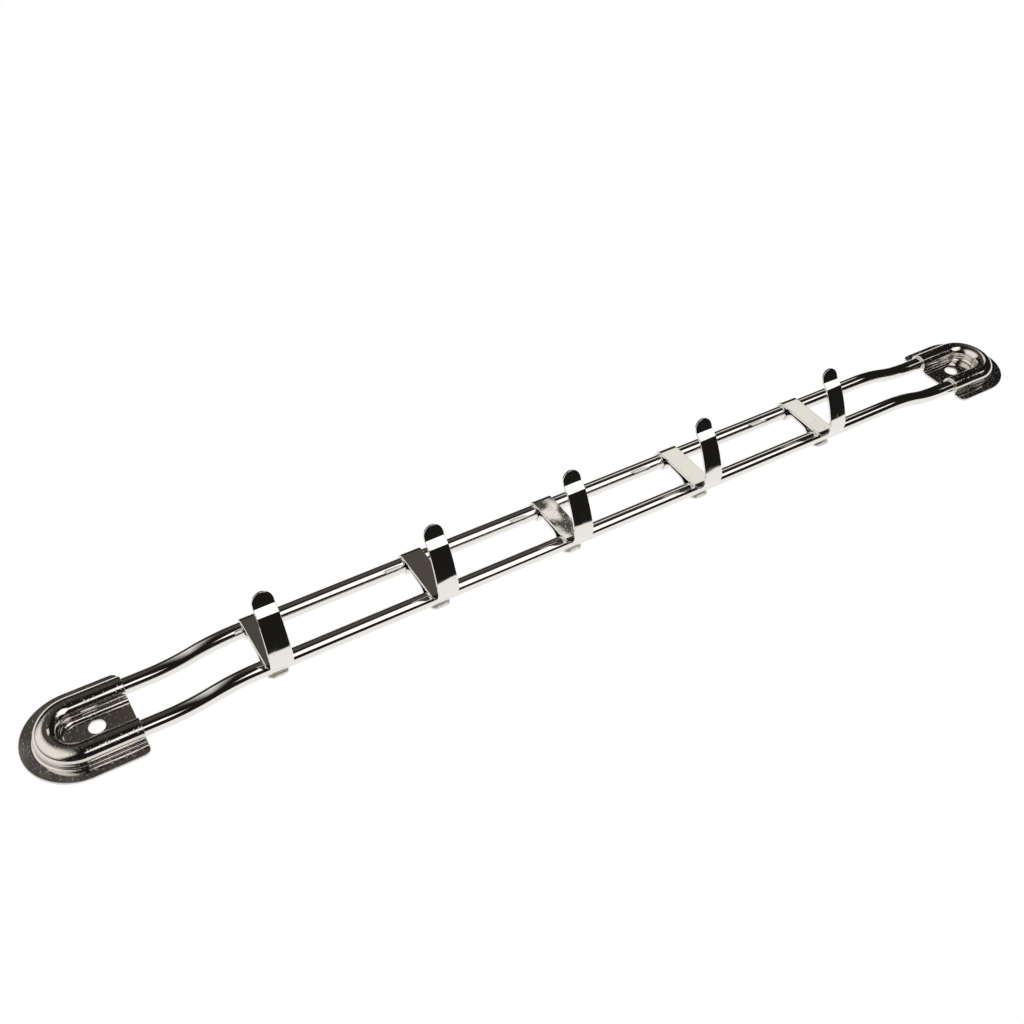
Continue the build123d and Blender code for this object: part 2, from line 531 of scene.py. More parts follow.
@dataclass(frozen=True)
class WornPlating:
    """Pits and dull spots of plating that has worn.

    Args:
        patch_scale: How close together the worn patches are.
        grain_roughness: How rough the grain inside a patch is.
        share: Share that patches and grain each have in the noise.
        bare_edge: Noise value that the spots need where nothing is worn.
        worn_drop: How far that value falls where all is worn.
        fade: Noise values about the edge at which a spot starts and is full.
    """

    patch_scale: float = 140.0
    grain_roughness: float = 0.7
    share: float = 0.5
    bare_edge: float = 0.86
    worn_drop: float = 0.34
    fade: tuple[float, float] = (-0.12, 0.02)

    def group(self) -> bpy.types.NodeTree:
        """Builds the node group.

        Returns:
            A group that gives a spot mask and a height.
        """
        group, nodes = new_group("worn_plating", {"Spot Scale": 900.0, "Amount": 0.5}, ("Spots", "Height"))
        given = nodes.add("NodeGroupInput").outputs
        patches = nodes.noise(given["Vector"], self.patch_scale, detail=3.0)
        grain = nodes.noise(given["Vector"], given["Spot Scale"], detail=4.0,
                            Roughness=self.grain_roughness)
        edge = nodes.math("SUBTRACT", self.bare_edge, nodes.math("MULTIPLY", given["Amount"], self.worn_drop))
        joined = nodes.math("ADD", nodes.math("MULTIPLY", patches, self.share),
                            nodes.math("MULTIPLY", grain, self.share))
        spots = nodes.ramp(nodes.math("SUBTRACT", joined, edge), *self.fade)
        nodes.add("NodeGroupOutput", {"Spots": spots, "Height": nodes.math("MULTIPLY", spots, -1.0)})
        return group


@dataclass(frozen=True)
class PolishedMetal:
    """A plated and polished metal.

    Args:
        name: Name of the finish.
        color: Colour of the clean metal.
        worn: Colour where the plating is dull.
        roughness: Roughness of the clean metal.
        smudged: Roughness that smudges add.
        wave: Height of the slow waves in the surface.
        wave_scale: How close together the waves are.
        scratch: Strength of the fine scratches.
        wear: Share of dull spots, from 0 to 1.
        scratched: Roughness that a full scratch adds.
        dulled: Roughness that a dull spot adds.
        pit: Depth of a dull spot.
        pit_strength: Share of the pits' slope that shows.
    """

    name: str
    color: tuple[float, float, float]
    worn: tuple[float, float, float]
    roughness: float
    smudged: float
    wave: float
    wave_scale: float
    scratch: float
    wear: float
    scratched: float = 0.12
    dulled: float = 0.3
    pit: float = 0.02 * MM
    pit_strength: float = 0.6

    def material(self, marks: bpy.types.NodeTree, wear: bpy.types.NodeTree) -> bpy.types.Material:
        """Builds the material.

        Args:
            marks: The group of scratches, smudges and waves.
            wear: The group of pits and dull spots.

        Returns:
            The material.
        """
        made = bpy.data.materials.new(self.name)
        made.use_nodes = True
        nodes = NodeTree(made.node_tree)
        place = nodes.add("ShaderNodeTexCoord").outputs["Object"]
        mark = nodes.add("ShaderNodeGroup", node_tree=marks)
        worn = nodes.add("ShaderNodeGroup", node_tree=wear)
        nodes.feed(mark.inputs["Vector"], place)
        nodes.feed(mark.inputs["Wave Scale"], self.wave_scale)
        nodes.feed(mark.inputs["Scratch"], self.scratch)
        nodes.feed(worn.inputs["Vector"], place)
        nodes.feed(worn.inputs["Amount"], self.wear)
        color = nodes.add("ShaderNodeMix", {"Factor": worn.outputs["Spots"], MIX_A: (*self.color, 1.0),
                                            MIX_B: (*self.worn, 1.0)}, data_type="RGBA")
        rough = nodes.math("ADD", nodes.math("MULTIPLY", mark.outputs["Smudge"], self.smudged),
                           nodes.math("MULTIPLY", mark.outputs["Scratches"], self.scratched))
        rough = nodes.math("ADD", rough, nodes.math("MULTIPLY", worn.outputs["Spots"], self.dulled))
        rough = nodes.math("ADD", rough, self.roughness)
        slow = nodes.add("ShaderNodeBump", {"Strength": 1.0, "Distance": self.wave,
                                            "Height": mark.outputs["Height"]})
        fine = nodes.add("ShaderNodeBump", {"Strength": self.pit_strength, "Distance": self.pit,
                                            "Height": worn.outputs["Height"],
                                            "Normal": slow.outputs["Normal"]})
        shader = nodes.add("ShaderNodeBsdfPrincipled", {"Base Color": color.outputs[MIX_RESULT],
                                                        "Metallic": 1.0, "Roughness": rough,
                                                        "Normal": fine.outputs["Normal"]})
        nodes.add("ShaderNodeOutputMaterial", {"Surface": shader.outputs[0]})
        return made


ROD_FINISH = PolishedMetal("rod_chrome", color=(0.84, 0.83, 0.81), worn=(0.55, 0.52, 0.48), roughness=0.035,
                           smudged=0.05, wave=0.03 * MM, wave_scale=60.0, scratch=0.6, wear=0.25)
HOOK_FINISH = PolishedMetal("hook_chrome", color=(0.84, 0.83, 0.80), worn=(0.55, 0.52, 0.48), roughness=0.035,
                            smudged=0.05, wave=0.40 * MM, wave_scale=75.0, scratch=0.6, wear=0.1)
BRACKET_FINISH = PolishedMetal("bracket_nickel", color=(0.74, 0.71, 0.67), worn=(0.42, 0.39, 0.35),
                               roughness=0.05, smudged=0.10, wave=0.80 * MM, wave_scale=45.0, scratch=1.0,
                               wear=0.18)


# ---------------------------------------------------------------- sizes shared by the pieces


@dataclass(frozen=True)
class Rods:
    """Sizes of the rod loop that the brackets and hooks fit.

    Args:
        radius: Radius of the rod.
        half_pitch: Half the distance between the axes of the two rods.
        standoff: Wall to rod axis on the straight run.
        wall_gap: Wall to rod inside a bracket.
        straight_half: Half the length of the long straight.
        joggle_radius: Radius of the two bends of a joggle.
    """

    radius: float = 3.0 * MM
    half_pitch: float = 10.0 * MM
    standoff: float = 7.4 * MM
    wall_gap: float = 0.1 * MM
    straight_half: float = 148.0 * MM
    joggle_radius: float = 70.0 * MM

    def bracket_height(self) -> float:
        """Wall to rod axis inside a bracket."""
        return self.radius + self.wall_gap


# ---------------------------------------------------------------- the rod loop


@dataclass
class RodLoop:
    """The closed loop of round rod, swept by a Geometry Nodes tree.

    Args:
        rods: Sizes of the rods.
        loop_end: X of the centres of the two U-turns.
        material: Finish of the rod.
        sides: Faces round the rod.
        longest: Largest distance between two samples on a straight.
        leg_steps: Even steps over a leg, used where the joggle bends.
        turn_steps: Steps round each U-turn.
    """

    rods: Rods
    loop_end: float
    material: bpy.types.Material
    sides: int = 56
    longest: float = 12.0 * MM
    leg_steps: int = 160
    turn_steps: int = 40

    def leg(self) -> BentLine:
        """Draws half of one rod in the XY plane.

        Returns:
            The line from the middle of the rack, over the joggle, to the start of the U-turn.
        """
        rise = self.rods.standoff - self.rods.bracket_height()
        turn = 2 * math.atan2(math.sqrt(rise), math.sqrt(4 * self.rods.joggle_radius - rise))
        line = BentLine((0.0, -self.rods.standoff), 0.0)
        line.straight(self.rods.straight_half)
        line.arc(self.rods.joggle_radius, turn).arc(self.rods.joggle_radius, -turn)
        reached = line.end()[0][0]
        return line.straight(self.loop_end - reached)

    def route(self) -> list[Vector]:
        """Samples the loop's centre line.

        Returns:
            Its points, all the way round.
        """
        leg = self.leg()
        half = [leg.at(along)[0] for along in self.stations(leg)]
        points = [Vector((x, y, self.rods.half_pitch)) for x, y in half]
        for i in range(1, self.turn_steps):
            across, up = self.rods.half_pitch * unit(math.pi * (0.5 - i / self.turn_steps))
            points.append(Vector((self.loop_end + across, -self.rods.bracket_height(), up)))
        points += [Vector((x, y, -self.rods.half_pitch)) for x, y in reversed(half)]
        return points + [Vector((-p.x, p.y, p.z)) for p in reversed(points[1:-1])]

    def stations(self, leg: BentLine) -> list[float]:
        """Chooses where a leg is sampled, closer together past its long straight.

        Args:
            leg: The line of the leg.

        Returns:
            Distances from the leg's start.
        """
        even = [leg.length() * i / self.leg_steps for i in range(1, self.leg_steps)]
        bent = [along for along in even if leg.at(along)[0][0] > self.rods.straight_half]
        return sorted(set(leg.stations(self.longest) + bent))

    def sweep_tree(self) -> bpy.types.NodeTree:
        """Builds the Geometry Nodes tree that sweeps a round section along a curve.

        Returns:
            The tree, with inputs for the rod's radius, its sides and its material.
        """
        tree = bpy.data.node_groups.new("rod_sweep", "GeometryNodeTree")
        for name, kind in (("Geometry", "Geometry"), ("Radius", "Float"), ("Sides", "Int"),
                           ("Material", "Material")):
            tree.interface.new_socket(name, in_out="INPUT", socket_type="NodeSocket" + kind)
        tree.interface.new_socket("Geometry", in_out="OUTPUT", socket_type="NodeSocketGeometry")
        nodes = NodeTree(tree)
        given = nodes.add("NodeGroupInput").outputs
        section = nodes.add("GeometryNodeCurvePrimitiveCircle", {"Resolution": given["Sides"],
                                                                 "Radius": given["Radius"]})
        swept = nodes.add("GeometryNodeCurveToMesh", {"Curve": given["Geometry"],
                                                      "Profile Curve": section.outputs["Curve"]})
        smooth = nodes.add("GeometryNodeSetShadeSmooth", {"Geometry": swept.outputs["Mesh"]})
        real = nodes.add("GeometryNodeRealizeInstances", {"Geometry": smooth.outputs["Geometry"]})
        dressed = nodes.add("GeometryNodeSetMaterial", {"Geometry": real.outputs["Geometry"],
                                                        "Material": given["Material"]})
        nodes.add("NodeGroupOutput", {"Geometry": dressed.outputs["Geometry"]})
        return tree

    def build(self) -> bpy.types.Object:
        """Sweeps the loop and turns the result into a plain mesh.

        Returns:
            The finished piece.
        """
        curve = bpy.data.curves.new("rod_route", "CURVE")
        curve.dimensions = "3D"
        spline = curve.splines.new("POLY")
        route = self.route()
        spline.points.add(len(route) - 1)
        for point, place in zip(spline.points, route):
            point.co = (*place, 1.0)
        spline.use_cyclic_u = True
        guide = add_object("rod_route", curve)
        tree = self.sweep_tree()
        modifier = guide.modifiers.new("sweep", "NODES")
        modifier.node_group = tree
        values = {"Radius": self.rods.radius, "Sides": self.sides, "Material": self.material}
        for socket in tree.interface.items_tree:
            if socket.in_out == "INPUT" and socket.name in values:
                modifier[socket.identifier] = values[socket.name]
        bpy.context.view_layer.update()
        evaluated = guide.evaluated_get(bpy.context.evaluated_depsgraph_get())
        mesh = bpy.data.meshes.new_from_object(evaluated)
        mesh.name = "rod_loop_wire"
        guide.modifiers.clear()
        bpy.data.objects.remove(guide)
        return add_object("rod_loop_wire", mesh)


# ---------------------------------------------------------------- the end brackets


@dataclass
class EndBracket:
    """A stamped bracket: flange, U-shaped hump over the rod, floor and screw hole.

    Args:
        side: Which end of the rack it is.
        rods: Sizes of the rods.
        mouth: Distance from the middle of the rack to the open edge.
        material: Finish of the bracket.
        straight: Open edge to the centre of the rounded end.
        half_width: Half the width of the bracket.
        sheet: Sheet thickness.
        fit: Gap between the hump and the rod.
        inner_foot: Radius at the hump's foot, on the floor's side.
        outer_foot: Radius at the hump's foot, on the flange's side.
        corner: Radius of the two corners at the open edge.
        hole_radius: Radius of the screw hole.
        screw_inset: Open edge to the middle of the hole.
        turn_steps: Steps round the rounded end.
        hole_steps: Steps round the hole.
        corner_steps: Steps round each corner.
        longest: Largest distance between two samples across a straight.
        rim_radius: Rounding of the sheared edges.
    """

    side: Side
    rods: Rods
    mouth: float
    material: bpy.types.Material
    straight: float = 18.6 * MM
    half_width: float = 19.0 * MM
    sheet: float = 1.0 * MM
    fit: float = 0.05 * MM
    inner_foot: float = 1.8 * MM
    outer_foot: float = 1.0 * MM
    corner: float = 2.6 * MM
    hole_radius: float = 2.8 * MM
    screw_inset: float = 12.5 * MM
    turn_steps: int = 72
    hole_steps: int = 48
    corner_steps: int = 8
    longest: float = 3.0 * MM
    rim_radius: float = 0.22 * MM

    def loop_end(self) -> float:
        """X of the centre of the rounded end."""
        return self.mouth + self.straight

    def section(self) -> BentLine:
        """Draws the middle of the sheet across half the bracket.

        Returns:
            The line, as distance from the middle of the floor and height over the wall.
        """
        height = self.rods.bracket_height()
        half_sheet = self.sheet / 2
        hump = self.rods.radius + self.fit
        drops, spans = [], []
        for foot in (self.inner_foot, self.outer_foot):
            bend = foot + self.sheet
            drops.append(height - bend)
            spans.append(math.sqrt((hump + bend) ** 2 - (height - bend) ** 2))
        inner_tilt = math.atan2(drops[0], spans[0])
        outer_tilt = math.atan2(drops[1], spans[1])
        line = BentLine((0.0, half_sheet), 0.0)
        line.straight(self.rods.half_pitch - spans[0])
        line.arc(self.inner_foot + half_sheet, math.pi / 2 + inner_tilt)
        line.arc(hump + half_sheet, -(math.pi + inner_tilt + outer_tilt))
        line.arc(self.outer_foot + half_sheet, math.pi / 2 + outer_tilt)
        return line.straight(self.half_width - self.rods.half_pitch - spans[1])

    def build(self) -> bpy.types.Object:
        """Builds the bracket as one closed shell.

        Returns:
            The finished piece.
        """
        shell = Shell()
        line = self.section()
        floor = line.stretches[0].length
        far = line.length()
        rim = Rim(self.sheet, self.rim_radius)
        flip = self.side.value

        def place(x: float, q: float, w: float, turn: float | None,
                  tilt: tuple[float, float, float]) -> int:
            """Adds a vertex of the formed sheet.

            Args:
                x: Distance from the middle of the rack, used on the straight part.
                q: Distance across, along the sheet, from the middle of the floor.
                w: Height over the middle of the sheet.
                turn: Angle about the centre of the rounded end, or None on the straight part.
                tilt: The normal's shares along x, along q and off the sheet's front.

            Returns:
                The vertex's number.
            """
            (out, height), heading = line.at(abs(q))
            side = 1.0 if q >= 0 else -1.0
            along, across, lift = tilt
            out -= w * math.sin(heading)
            height += w * math.cos(heading)
            n_out = side * across * math.cos(heading) - lift * math.sin(heading)
            n_height = side * across * math.sin(heading) + lift * math.cos(heading)
            if turn is None:
                point = (flip * x, -height, side * out)
                normal = (flip * along, -n_height, side * n_out)
            else:
                cx, cz = unit(turn)
                point = (flip * (self.loop_end() + out * cx), -height, out * cz)
                normal = (flip * n_out * cx, -n_height, n_out * cz)
            return shell.vertex(np.array(point), np.array(normal))

        bends = [q for q in line.stations(self.longest) if floor - WELD < q < far - self.corner]
        corner_top = far - self.corner
        outline = [(self.mouth, q, -1.0, 0.0) for q in bends + [corner_top]]
        for i in range(1, self.corner_steps + 1):
            angle = math.pi / 2 * i / self.corner_steps
            outline.append((self.mouth + self.corner * (1 - math.cos(angle)),
                            corner_top + self.corner * math.sin(angle),
                            -math.cos(angle), math.sin(angle)))
        outline.append((self.loop_end(), far, 0.0, 1.0))
        turns = [math.pi / 2 - math.pi * i / self.turn_steps for i in range(1, self.turn_steps)]

        def edge_row(inset: float, w: float, n_edge: float, n_lift: float) -> list[int]:
            """Adds one row of vertices all the way round the sheared edge.

            Args:
                inset: Distance inside the outline.
                w: Height over the middle of the sheet.
                n_edge: Share of the normal along the outline's normal.
                n_lift: Share of the normal off the sheet's front.

            Returns:
                The vertices' numbers, the first of them again at the end.
            """
            row = []
            for sign in (1, -1):
                part = [place(x - inset * nx, sign * (q - inset * nq), w, None,
                              (n_edge * nx, sign * n_edge * nq, n_lift))
                        for x, q, nx, nq in outline]
                if sign > 0:
                    row += part
                    row += [place(0.0, far - inset, w, turn, (0.0, n_edge, n_lift)) for turn in turns]
                else:
                    row += reversed(part)
            return row + [row[0]]

        rows = [edge_row(*level) for level in rim.levels()]
        for first, second in zip(rows, rows[1:]):
            shell.band(first, second)

        for w, lift in ((-self.sheet / 2, -1.0), (self.sheet / 2, 1.0)):
            inset = self.rim_radius
            inner = [(x - inset * nx, q - inset * nq) for x, q, nx, nq in outline[:-1]]
            normal = (0.0, 0.0, lift)
            for sign in (1, -1):
                near = [place(x, sign * q, w, None, normal) for x, q in inner]
                end = [place(self.loop_end(), sign * q, w, None, normal) for _, q in inner]
                shell.band(near, end, forward=sign * lift > 0)
            fans = [[place(self.loop_end(), q, w, None, normal) for _, q in inner]]
            fans += [[place(0.0, q, w, turn, normal) for _, q in inner] for turn in turns]
            fans += [[place(self.loop_end(), -q, w, None, normal) for _, q in inner]]
            for first, second in zip(fans, fans[1:]):
                shell.band(first, second, forward=lift > 0)
            self.floor_face(shell, place, w, lift, turns, floor)
        self.hole_wall(shell)
        piece = shell.build(f"{self.side.name.lower()}_bracket_plate")
        piece.data.materials.append(self.material)
        return piece

    def floor_face(self, shell: Shell, place: Callable[..., int], w: float, lift: float, turns: list[float],
                   floor: float) -> None:
        """Fills the flat floor round the screw hole, on one side of the sheet.

        Args:
            shell: The mesh that the floor is added to.
            place: Finds the vertex at a place of the sheet.
            w: Height of this side over the middle of the sheet.
            lift: 1 on the front and -1 on the back.
            turns: Angles of the samples round the rounded end.
            floor: Half the width of the floor.
        """
        normal = (0.0, 0.0, lift)
        numbers = [place(self.mouth + self.rim_radius, floor, w, None, normal),
                   place(self.loop_end(), floor, w, None, normal)]
        numbers += [place(0.0, floor, w, turn, normal) for turn in turns]
        numbers += [place(self.loop_end(), -floor, w, None, normal),
                    place(self.mouth + self.rim_radius, -floor, w, None, normal)]
        outer = len(numbers)
        numbers += self.hole_ring(shell, self.rim_radius, w, 0.0, lift)
        flat = [Vector((shell.points[n][0], shell.points[n][2])) for n in numbers]
        edges = [(i, (i + 1) % outer) for i in range(outer)]
        ring = len(numbers) - outer
        edges += [(outer + i, outer + (i + 1) % ring) for i in range(ring)]
        _, _, triangles, sources, _, _ = delaunay_2d_cdt(flat, edges, [], CDT_INSIDE, CDT_TOLERANCE)
        for triangle in triangles:
            origin = [sources[i][0] for i in triangle]
            if min(origin) < outer:
                ends = [numbers[i] for i in origin]
                a, b, c = (np.array(shell.points[i]) for i in ends)
                facing = np.cross(b - a, c - a)[1] * lift * self.side.value
                shell.face(ends if facing > 0 else ends[::-1])

    def hole_ring(self, shell: Shell, inset: float, w: float, n_edge: float, n_lift: float) -> list[int]:
        """Adds one ring of vertices round the screw hole.

        Args:
            shell: The mesh that the ring is added to.
            inset: Distance outside the hole's wall.
            w: Height over the middle of the sheet.
            n_edge: Share of the normal that points into the hole.
            n_lift: Share of the normal that points off the sheet's front.

        Returns:
            The vertices' numbers.
        """
        ring = []
        for i in range(self.hole_steps):
            cx, cz = unit(2 * math.pi * i / self.hole_steps)
            radius = self.hole_radius + inset
            hole_x = self.side.value * (self.mouth + self.screw_inset)
            point = (hole_x + radius * cx, -(self.sheet / 2 + w), radius * cz)
            ring.append(shell.vertex(np.array(point), np.array((-n_edge * cx, -n_lift, -n_edge * cz))))
        return ring

    def hole_wall(self, shell: Shell) -> None:
        """Adds the wall of the screw hole with its rounded rims.

        Args:
            shell: The mesh that the wall is added to.
        """
        rows = []
        for level in Rim(self.sheet, self.rim_radius).levels():
            ring = self.hole_ring(shell, *level)
            rows.append(ring + [ring[0]])
        for first, second in zip(rows, rows[1:]):
            shell.band(first, second, forward=self.side is Side.RIGHT)


# ---------------------------------------------------------------- the hooks


@dataclass
class StripHook:
    """One hook, bent from a single strip that clips over both rods.

    Args:
        number: Which hook it is, counted from the left.
        x: Its place along the rods.
        rods: Sizes of the rods.
        material: Finish of the hook.
        width: Width of the strip.
        sheet: Thickness of the strip.
        fit: Gap between the strip and the rods.
        tail_gap: Gap between the plate and the tail, at pinch_z.
        tail_lean: Lean of the tail's straight away from the plate, going down.
        pinch_z: Height at which the tail's place behind the plate is set.
        upper_radius: Bend between the upper rod's wrap and the tail.
        lower_radius: Bend between the tail and the lower rod's wrap.
        tail_end: Where the tail leaves the lower rod; 0 is straight behind the rod.
        tongue_length: Length of the straight end of the tail.
        tongue_corner: Radius of the tongue's corners.
        plate_bottom: Height at which the plate bends into the cradle.
        cradle_radius: Bend of the cradle.
        arm_start: Slope of the arm where the cradle ends.
        arm_end: Slope of the arm where it kicks up.
        arm_radius: Bend of the arm.
        kick_slope: Slope of the kick.
        kick_radius: Bend into the kick.
        kick_length: Length of the kick's straight.
        lip_slope: Slope of the lip.
        lip_radius: Bend into the lip.
        lip_length: Length of the lip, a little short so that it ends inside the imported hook's box.
        lip_width: Width of the lip at its round tip.
        rim_radius: Rounding of the sheared edges.
        longest: Largest distance between two samples on a straight.
        end_steps: Steps round the tip and round each corner of the tongue.
    """

    number: int
    x: float
    rods: Rods
    material: bpy.types.Material
    width: float = 8.5 * MM
    sheet: float = 1.0 * MM
    fit: float = 0.05 * MM
    tail_gap: float = 0.75 * MM
    tail_lean: float = math.radians(4)
    pinch_z: float = 2.0 * MM
    upper_radius: float = 3.0 * MM
    lower_radius: float = 4.0 * MM
    tail_end: float = math.radians(-5)
    tongue_length: float = 3.0 * MM
    tongue_corner: float = 2.9 * MM
    plate_bottom: float = -11.6 * MM
    cradle_radius: float = 6.0 * MM
    arm_start: float = math.radians(17)
    arm_end: float = math.radians(35)
    arm_radius: float = 49.0 * MM
    kick_slope: float = math.radians(56)
    kick_radius: float = 1.6 * MM
    kick_length: float = 2.6 * MM
    lip_slope: float = math.radians(24)
    lip_radius: float = 1.6 * MM
    lip_length: float = 4.86 * MM
    lip_width: float = 7.8 * MM
    rim_radius: float = 0.26 * MM
    longest: float = 4.0 * MM
    end_steps: int = 14

    def wrap(self) -> float:
        """Radius of the middle of the strip round a rod."""
        return self.rods.radius + self.fit + self.sheet / 2

    def plate_y(self) -> float:
        """Y of the middle of the front plate."""
        return -self.rods.standoff - self.wrap()

    def arm(self) -> BentLine:
        """Draws the middle of the strip in front of the plate.

        Returns:
            The line from the plate's foot to the tip of the lip.
        """
        line = BentLine((self.plate_y(), self.plate_bottom), -math.pi / 2)
        for radius, slope, straight in (
            (self.cradle_radius, self.arm_start, 0.0),
            (self.arm_radius, self.arm_end, 0.0),
            (self.kick_radius, self.kick_slope, self.kick_length),
            (self.lip_radius, self.lip_slope, self.lip_length),
        ):
            heading = line.end()[1]
            line.arc(radius, -math.pi - slope - heading)
            if straight:
                line.straight(straight)
        return line

    def tail_bend(self, pinch: np.ndarray, lean: float, radius: float, rod_z: float) -> np.ndarray:
        """Centre of the bend that joins the tail to the wrap round a rod.

        Args:
            pinch: Point that the tail's straight runs through.
            lean: Heading of the tail's straight.
            radius: Radius of the bend.
            rod_z: Height of the rod's axis.

        Returns:
            The centre, in the YZ plane.
        """
        behind = pinch + radius * unit(lean + math.pi / 2)
        gap = behind - np.array((-self.rods.standoff, rod_z))
        half_b = float(gap @ unit(lean))
        root = math.sqrt(half_b ** 2 - float(gap @ gap) + (self.wrap() + radius) ** 2)
        return behind + unit(lean) * (-half_b + (root if rod_z > 0 else -root))

    def tail(self, line: BentLine) -> BentLine:
        """Adds the clip behind the plate.

        Args:
            line: The middle of the strip, up to the top of the plate.

        Returns:
            The same line, drawn on to the end of the tongue.
        """
        lean = self.tail_lean - math.pi / 2
        pinch = np.array((self.plate_y() + self.sheet + self.tail_gap, self.pinch_z))
        axes = [np.array((-self.rods.standoff, z)) for z in (self.rods.half_pitch, -self.rods.half_pitch)]
        upper = self.tail_bend(pinch, lean, self.upper_radius, self.rods.half_pitch)
        lower = self.tail_bend(pinch, lean, self.lower_radius, -self.rods.half_pitch)
        leave = math.atan2(*(upper - axes[0])[::-1])
        meet = math.atan2(*(lower - axes[1])[::-1])
        line.arc(self.wrap(), leave - math.pi)
        line.arc(self.upper_radius, (lean - line.end()[1]) % (2 * math.pi))
        straight_end = lower - self.lower_radius * unit(lean + math.pi / 2)
        line.straight(float(np.linalg.norm(straight_end - line.end()[0])))
        line.arc(self.lower_radius, meet - math.pi / 2 - lean)
        return line.arc(self.wrap(), self.tail_end - meet).straight(self.tongue_length)

    def path(self) -> BentLine:
        """Draws the middle of the whole strip.

        Returns:
            The line from the tip of the lip to the end of the tongue.
        """
        line = self.arm().reversed()
        line.straight(self.rods.half_pitch - self.plate_bottom)
        return self.tail(line)

    def outline(self, line: BentLine) -> list[tuple[float, float, float, float]]:
        """Draws half the outline of the flat strip.

        Args:
            line: Middle of the whole strip.

        Returns:
            For each point, its place along the strip, its half width, and its outward normal.
        """
        round_end, half = self.lip_width / 2, self.width / 2
        arm_length = self.arm().length()
        taper_end = arm_length - self.cradle_radius * math.pi / 2
        tongue = line.length() - self.tongue_corner
        slope = math.atan2(half - round_end, taper_end - round_end)
        points = []
        for i in range(self.end_steps + 1):
            angle = (math.pi / 2) * i / self.end_steps
            points.append((round_end * (1 - math.cos(angle)), round_end * math.sin(angle),
                           -math.cos(angle), math.sin(angle)))
        for u in line.stations(self.longest):
            if round_end + WELD < u < taper_end:
                share = (u - round_end) / (taper_end - round_end)
                points.append((u, round_end + share * (half - round_end),
                               -math.sin(slope), math.cos(slope)))
            elif taper_end <= u < tongue - WELD:
                points.append((u, half, 0.0, 1.0))
        for i in range(self.end_steps + 1):
            angle = (math.pi / 2) * i / self.end_steps
            points.append((tongue + self.tongue_corner * math.sin(angle),
                           half - self.tongue_corner * (1 - math.cos(angle)),
                           math.sin(angle), math.cos(angle)))
        return points

    def build(self) -> bpy.types.Object:
        """Builds the hook as one closed shell.

        Returns:
            The finished piece.
        """
        shell = Shell()
        line = self.path()
        outline = self.outline(line)

        def place(u: float, v: float, w: float, tilt: tuple[float, float, float]) -> int:
            """Adds a vertex of the bent strip.

            Args:
                u: Distance along the strip, from the tip of the lip.
                v: Distance across the strip, from its middle.
                w: Height over the middle of the strip.
                tilt: The normal's shares along u, v and w.

            Returns:
                The vertex's number.
            """
            middle, heading = line.at(u)
            tangent, normal = unit(heading), unit(heading + math.pi / 2)
            y, z = middle + w * normal
            n_y, n_z = tilt[0] * tangent + tilt[2] * normal
            return shell.vertex(np.array((self.x + v, y, z)), np.array((tilt[1], n_y, n_z)))

        rows = []
        for inset, w, n_edge, n_lift in Rim(self.sheet, self.rim_radius).levels():
            rows.append([[place(u - inset * nu, side * (v - inset * nv), w,
                                (n_edge * nu, side * n_edge * nv, n_lift)) for u, v, nu, nv in outline]
                         for side in (1, -1)])
        for (right, left), (next_right, next_left) in zip(rows, rows[1:]):
            around = right + left[::-1]
            following = next_right + next_left[::-1]
            shell.band(around + [around[0]], following + [following[0]])
        for right, left in (rows[-1], rows[0][::-1]):
            shell.band(right, left)
        piece = shell.build(f"hook_{self.number}_strip")
        piece.data.materials.append(self.material)
        return piece


# ---------------------------------------------------------------- studio


@dataclass(frozen=True)
class Softbox:
    """A soft rectangle of light, far away.

    Args:
        towards: Direction of its middle, from the rack.
        level: Direction of its width.
        half_width: Half its width, at a distance of 1.
        half_height: Half its height, at a distance of 1.
        soft: Width of its faded border.
        strength: Brightness.
        color: Colour of the light.
    """

    towards: tuple[float, float, float]
    level: tuple[float, float, float]
    half_width: float
    half_height: float
    soft: float
    strength: float
    color: tuple[float, float, float] = (1.0, 0.985, 0.96)


SOFTBOXES = (
    Softbox(towards=(0.365, -0.765, -0.53), level=(1.0, 0.33, -0.50), half_width=0.33, half_height=0.36,
            soft=0.08, strength=1.35),
    Softbox(towards=(0.5535, -0.6315, 0.543), level=(1.0, 0.0, 0.0), half_width=0.1370, half_height=0.11,
            soft=0.02, strength=0.85, color=(1.0, 0.97, 0.90)),
    Softbox(towards=(0.30, -0.739, 0.603), level=(1.0, 0.0, 0.0), half_width=0.34, half_height=0.45,
            soft=0.50, strength=0.070, color=(1.0, 0.88, 0.80)),
    Softbox(towards=(-0.70, -0.62, 0.25), level=(0.0, 0.0, 1.0), half_width=0.85, half_height=0.62,
            soft=0.60, strength=1.00, color=(1.0, 0.98, 0.94)),
)
ROOM_LEVEL = 0.012               # brightness of the dark room
ROOM_COLOR = (1.0, 0.93, 0.88, 1.0)
PAPER_WHITE = 1.0                # brightness that the camera sees past the rack
PLAIN_WHITE = (1.0, 1.0, 1.0, 1.0)
SHEET_LEVEL = 0.95               # brightness of the white sheet that the metal mirrors
SHEET_COLOR = (1.0, 0.985, 0.955, 1.0)


